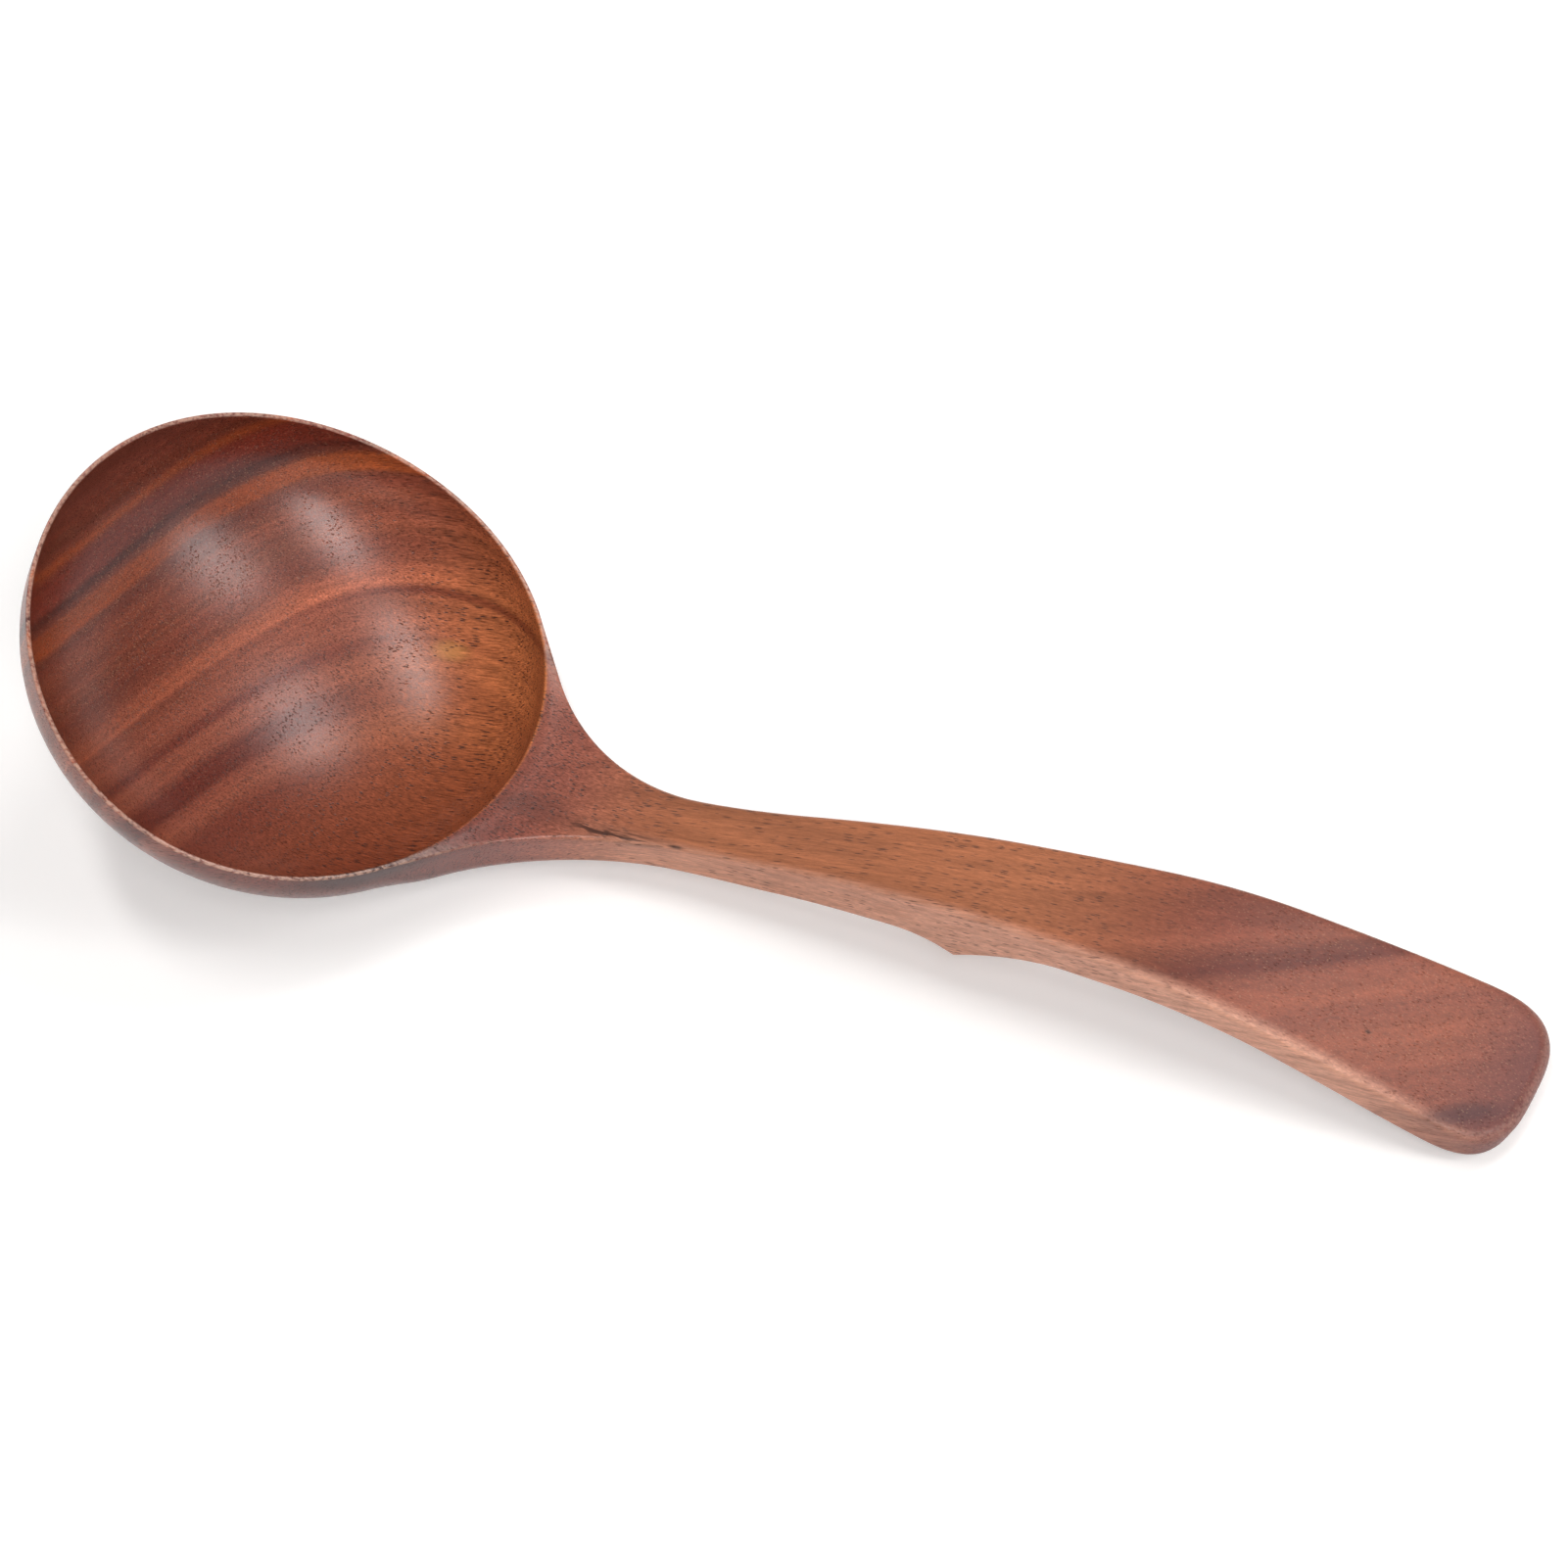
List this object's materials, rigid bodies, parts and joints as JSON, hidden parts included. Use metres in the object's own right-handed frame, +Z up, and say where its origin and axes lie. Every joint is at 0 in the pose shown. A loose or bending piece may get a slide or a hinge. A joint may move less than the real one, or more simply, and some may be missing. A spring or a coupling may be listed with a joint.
{
  "type": "wooden ladle",
  "caption": "Ladle carved from one billet of oiled hardwood: round bowl with a dished rim, flared neck, bent handle with a pot-rim nib underneath and a broad rounded end.",
  "frame": {"origin": "middle of the ladle's bounding box on the plane of the table it lies on", "axes": "+X from the bowl towards the end of the handle, +Y across the ladle to the left as seen from the bowl, +Z up from the table; the ladle is symmetric about the XZ plane"},
  "size_m": [0.2564, 0.0866, 0.0565],
  "materials": {
    "oiled_wood": "hand-sanded hardwood with a satin oil finish"
  },
  "bodies": {
    "root": {"ladle": "oiled_wood"}
  },
  "joints": []
}
